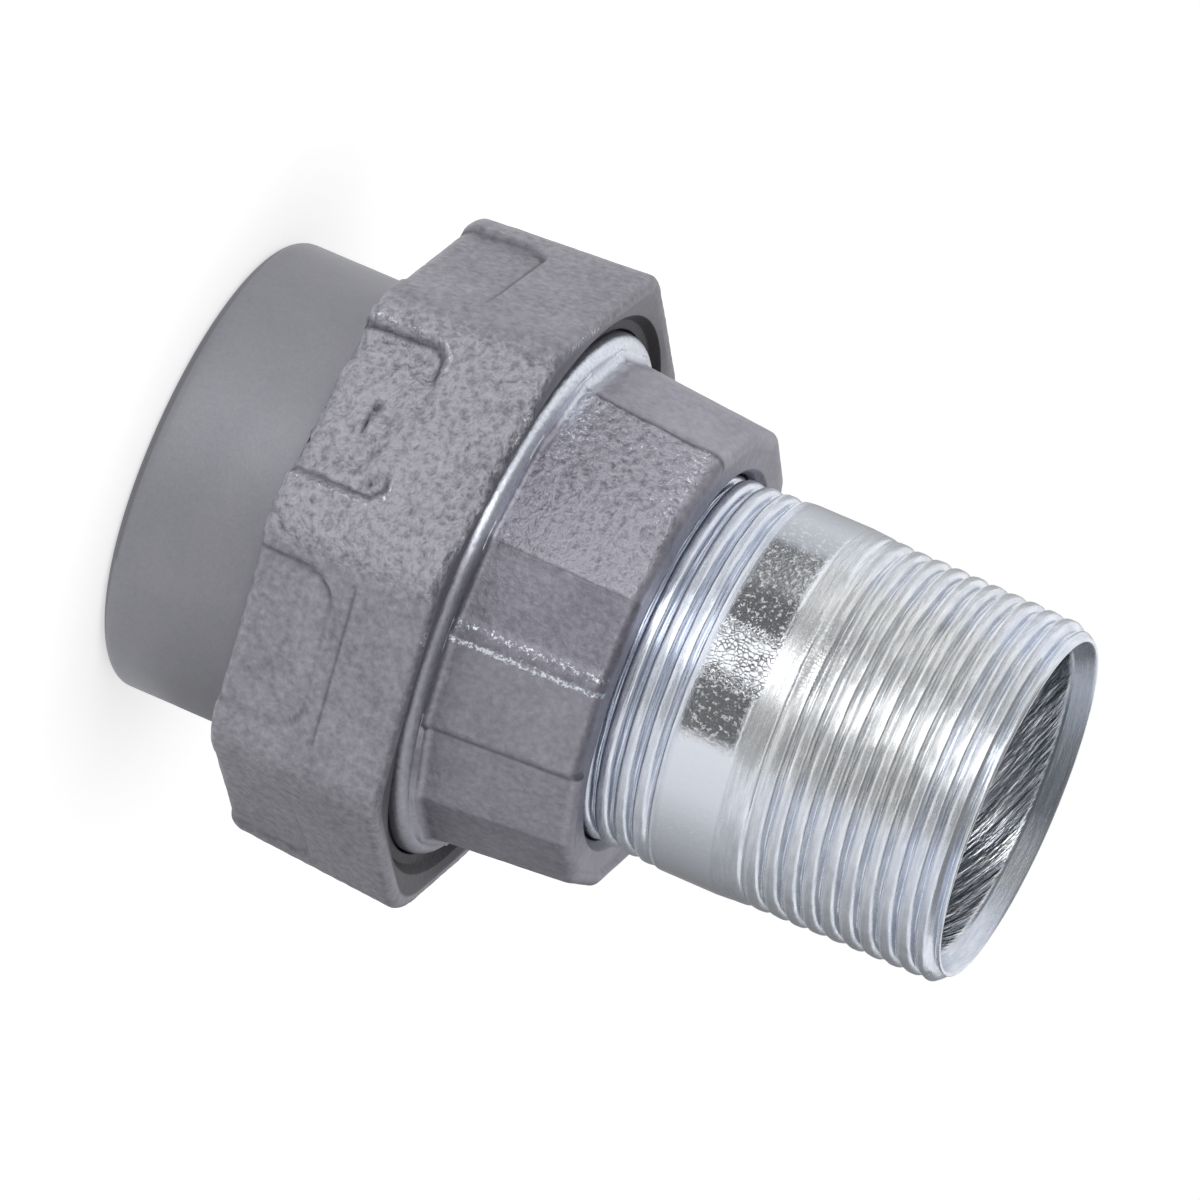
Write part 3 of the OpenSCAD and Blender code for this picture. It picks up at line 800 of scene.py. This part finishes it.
def make_nipple(thread, material):
    crest_end = PIPE_R - 0.58
    end_r = crest_end - 1.2
    r, z, _ = rounded_loop([
        (end_r, NIPPLE_Z, 0, 0.5, 0),
        (crest_end, NIPPLE_Z + 0.95, 0, 1.2, 0),
        (PIPE_R - 0.3, BODY_TOP - 1.5, 0, NIPPLE_ROWS, 0),
        (PIPE_R - 0.07, PLAIN_LOW - 1.0, 0, NIPPLE_ROWS, 0),
        (PIPE_R, PLAIN_LOW, 0, 0.5, 0),
        (PIPE_R, PLAIN_HIGH - 0.5, 0, NIPPLE_ROWS, 0),
        (PIPE_R - 0.22, PLAIN_HIGH + 3, 0, NIPPLE_ROWS, 0),
        (crest_end, MOUTH_Z - 1.5, 0.3, NIPPLE_ROWS, 0),
        (end_r, MOUTH_Z, 0.12, 0.15, 0),
        (end_r - 0.3, MOUTH_Z, 0.12, 0.3, 0),
        (BORE_R, MOUTH_Z - 2.5, 0.8, 0.8, 0),
        (BORE_R, NIPPLE_Z + 2.5, 0, 1.0, 0),
    ])
    phi, alpha = around(NIPPLE_COLUMNS)
    r, z = (np.broadcast_to(a[:, None], (len(a), len(phi))) for a in (r, z))
    outside = r > end_r + 0.1
    inner = smooth((PLAIN_LOW - z) / 1.8) * smooth((z - (BODY_TOP - 1.8)) / 0.6)
    outer = smooth((z - PLAIN_HIGH - 0.8) / 6) * smooth((MOUTH_Z + 0.3 - z) / 1.2)
    depth = np.where(outside, PIPE_DEPTH * (inner + outer), 0)
    # Painted shade darkens the bevel of the mouth, less on its lower side. The plate is crazed at the
    # front of the plain stretch, and a little crazed on the thread beside it
    mouth_shade = band(r, BORE_R, end_r - 0.35, 0.2) * (z > MOUTH_Z - 4) * (1 - 0.7 * band(alpha, -175, -20, 25))
    crazed = band(alpha, -1, 17, 4) * band(z, PLAIN_LOW, PLAIN_HIGH, 0.6)
    crazed = np.maximum(crazed, 0.45 * band(alpha, 4, 30, 16) * band(z, PLAIN_HIGH + 1.5, 77, 3))
    # Painted reflection: the plate is coloured a lighter bluish along the inner thread, a little on the
    # plain stretch, at the mouth, and on the lower and upper sides
    cool_rows = smooth((PLAIN_LOW + 1 - z) / 2) + 0.4 * band(z, PLAIN_LOW, PLAIN_HIGH, 1) + 0.4 * (z > 90)
    cool_sides = 0.8 * band(alpha, -150, -20, 15) + 0.6 * band(alpha, 48, 150, 12)
    nipple = ring_piece("pipe_nipple", r, z, phi, {
        "thread_depth": depth * MM,
        "plain": band(z, PLAIN_LOW, PLAIN_HIGH, 0.6) * outside,
        "crazed": crazed * outside,
        "blue_sheen": np.clip(cool_rows + cool_sides, 0, 1),
        "mouth_shade": 0.8 * mouth_shade,
        "bore": band(r, 0, BORE_R + 0.15, 0.2),
    })
    shape_with(nipple, thread, {
        "Pitch": PIPE_PITCH * MM, "Fullness": 3.6, "Batter": 0.1, "Seed": 7}, material)
    return nipple


# The studio: a pale floor, a white world, a soft lamp and grey cards that only reflections see

WHITE = (1, 1, 1, 1)
FLOOR_R = 225
FLOOR_Z = -0.02
FLOOR_GLOW = 0.52       # added to the floor for rays that look at it, which brings it to white
WORLD_LIGHT = 0.7       # how strongly the white world lights matt surfaces
LAMP_TURN = 20
LAMP_WIDTH = 340
LAMP_LENGTH = 440
LAMP_OUT = 560
LAMP_Z = 245
LAMP_WATTS = 1.0
CARD_R = 450
CARD_FOOT = -150
CARD_STEP = 4           # degrees between a card's points
# Shades of the standing card: angle about the axis from the viewer upwards, top, grey. Shades
# blend from one angle to the next, and change at once where an angle comes twice
STANDING = [
    (5, 25, 1.15), (30, 25, 1.15), (30, 20, 0.12), (52, 19, 0.12), (62, -16, 0.12), (97, -16, 0.12),
    (97, 0, 0.50), (125, 0, 0.66), (182, 120, 0.32), (205, 220, 0.22), (232, 220, 0.32), (262, 180, 0.48),
    (290, 100, 0.74), (326, 40, 0.84), (326, 15, 0.12), (365, 15, 0.13),
]
# Two cards above it, which only the rounded crests of the thread see: angle, grey
UPPER_ABOVE = [(30, 0.25), (56, 0.45)]
UPPER_BELOW = [(-38, 0.30), (5, 0.25)]
UPPER_FOOT = 62
UPPER_TOP = 250
# Shades of the cards that lie on the floor: angle, grey
LYING = [(-186, 0.42), (-135, 0.42), (-85, 0.66), (-40, 0.95), (-4, 0.95)]
LYING_ABOVE = [(58, 1.0), (130, 1.05), (174, 0.85)]
LYING_IN = 40
LYING_OUT = 222
LYING_Z = 0.2
# The overhead card is a shallow cone: middle, rim, grey
OVERHEAD = ((0, 520), (330, 380), 0.28)


def seen_directly(tree):
    """One for the rays that look at a thing: camera, glossy and transmission rays."""
    path = add_node(tree, "ShaderNodeLightPath").outputs
    looking = maths(tree, "MAXIMUM", path["Is Camera Ray"], path["Is Glossy Ray"])
    return maths(tree, "MAXIMUM", looking, path["Is Transmission Ray"])


def make_floor():
    mesh = bpy.data.meshes.new("floor")
    turns = [polar(a) * FLOOR_R * MM for a in range(0, 360, 3)]
    mesh.from_pydata([(p.x, p.y, FLOOR_Z * MM) for p in turns], [], [tuple(range(len(turns)))])
    floor = new_object("floor", mesh)
    material, tree = empty_material("matt white board")
    board = add_node(tree, "ShaderNodeBsdfDiffuse", links={"Color": colour("#e6e6e6")})
    glow = add_node(tree, "ShaderNodeEmission", links={
        "Strength": maths(tree, "MULTIPLY", seen_directly(tree), FLOOR_GLOW)})
    add_surface(tree, add_node(tree, "ShaderNodeAddShader", links={
        0: board.outputs[0], 1: glow.outputs[0]}))
    mesh.materials.append(material)


def make_card(name, shades):
    """A curved card that only reflections see, through (angle, inner rim, outer rim, grey) stations.

    A rim is a radius and a height.
    """
    points, greys = [], []
    for k in range(len(shades) - 1):
        start, end = shades[k], shades[k + 1]
        steps = max(1, round((end[0] - start[0]) / CARD_STEP))
        for step in range(steps + 1 if start[0] < end[0] else 0):
            t = step / steps
            turn = start[0] + (end[0] - start[0]) * t
            for rim in (1, 2):
                rim_r, height = np.array(start[rim]) * (1 - t) + np.array(end[rim]) * t
                points.append((polar(FACE_TURN - turn) * rim_r + Vector((0, 0, height))) * MM)
                greys.append(start[3] * (1 - t) + end[3] * t)
    faces = [(k, k + 2, k + 3, k + 1) for k in range(0, len(points) - 2, 2)]
    mesh = bpy.data.meshes.new(name)
    mesh.from_pydata(points, [], faces)
    mesh.attributes.new("grey", "FLOAT", "POINT").data.foreach_set("value", greys)
    card = new_object(name, mesh)
    material, tree = empty_material(name)
    add_surface(tree, add_node(tree, "ShaderNodeEmission", links={
        "Color": WHITE, "Strength": mark_of(tree, "grey")}))
    mesh.materials.append(material)
    card.visible_camera = False
    card.visible_diffuse = False
    card.visible_shadow = False
    card.visible_transmission = False


def make_lamp():
    data = bpy.data.lights.new("soft lamp", "AREA")
    data.shape = "RECTANGLE"
    data.size, data.size_y = LAMP_WIDTH * MM, LAMP_LENGTH * MM
    data.energy = LAMP_WATTS
    lamp = new_object("soft lamp", data)
    lamp.visible_camera = False
    out = polar(FACE_TURN - LAMP_TURN)
    side = Vector((0, 0, 1)).cross(out)
    lamp.matrix_world = Matrix((side, Vector((0, 0, 1)), out)).transposed().to_4x4()
    lamp.matrix_world.translation = (out * LAMP_OUT + Vector((0, 0, LAMP_Z))) * MM


def make_world():
    world = bpy.data.worlds.new("studio")
    world.use_nodes = True
    tree = world.node_tree
    tree.nodes.clear()
    level = remap(tree, seen_directly(tree), 0, 1, WORLD_LIGHT, 1.0)
    sky = add_node(tree, "ShaderNodeBackground", links={"Color": WHITE, "Strength": level})
    add_node(tree, "ShaderNodeOutputWorld", links={"Surface": sky.outputs[0]})
    bpy.context.scene.world = world


# Making it all

make_camera()
make_world()
make_floor()
make_lamp()
make_card("standing_card", [
    (turn, (CARD_R, CARD_FOOT), (CARD_R, top), grey) for turn, top, grey in STANDING])
for name, shades in (("lying_card", LYING), ("upper_lying_card", LYING_ABOVE)):
    make_card(name, [(turn, (LYING_IN, LYING_Z), (LYING_OUT, LYING_Z), grey) for turn, grey in shades])
for name, shades in (("upper_card_above", UPPER_ABOVE), ("upper_card_below", UPPER_BELOW)):
    make_card(name, [(turn, (CARD_R, UPPER_FOOT), (CARD_R, UPPER_TOP), grey) for turn, grey in shades])
make_card("overhead_card", [(turn, *OVERHEAD) for turn in (0, 360)])
bpy.context.scene.view_settings.view_transform = "Standard"

thread = thread_tree()
skin = skin_tree()
hub_iron = cast_iron_material(
    "blasted malleable iron, zinc plated",
    ("#84858b", "#96969c", "#d8dae0", "#505056"), roughness=0.46, grain=0.35, relief=0.25, seed=10)
nut_iron = cast_iron_material(
    "as-cast malleable iron, zinc plated",
    ("#7e7d85", "#aaa9b1", "#dcdee4", "#36353b"), roughness=0.5, grain=0.85, relief=0.55, seed=20)
body_iron = cast_iron_material(
    "as-cast malleable iron with rubbed corners",
    ("#7b7a84", "#b1afba", "#e6ebf6", "#36353b"), roughness=0.48, grain=0.7, relief=0.6, seed=30)
steel = plated_steel_material()

PIECES = [
    (make_hub(thread, skin, hub_iron), "hub", "hub", "hub_iron"),
    (make_nut(thread, skin, nut_iron), "nut", "union_nut", "nut_iron"),
    (make_body(thread, skin, body_iron), "body", "threaded_body", "body_iron"),
    (make_nipple(thread, steel), "body", "nipple", "nipple_steel"),
]
for piece, carrier, node, finish in PIECES:
    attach(piece, carrier)
    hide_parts(node)
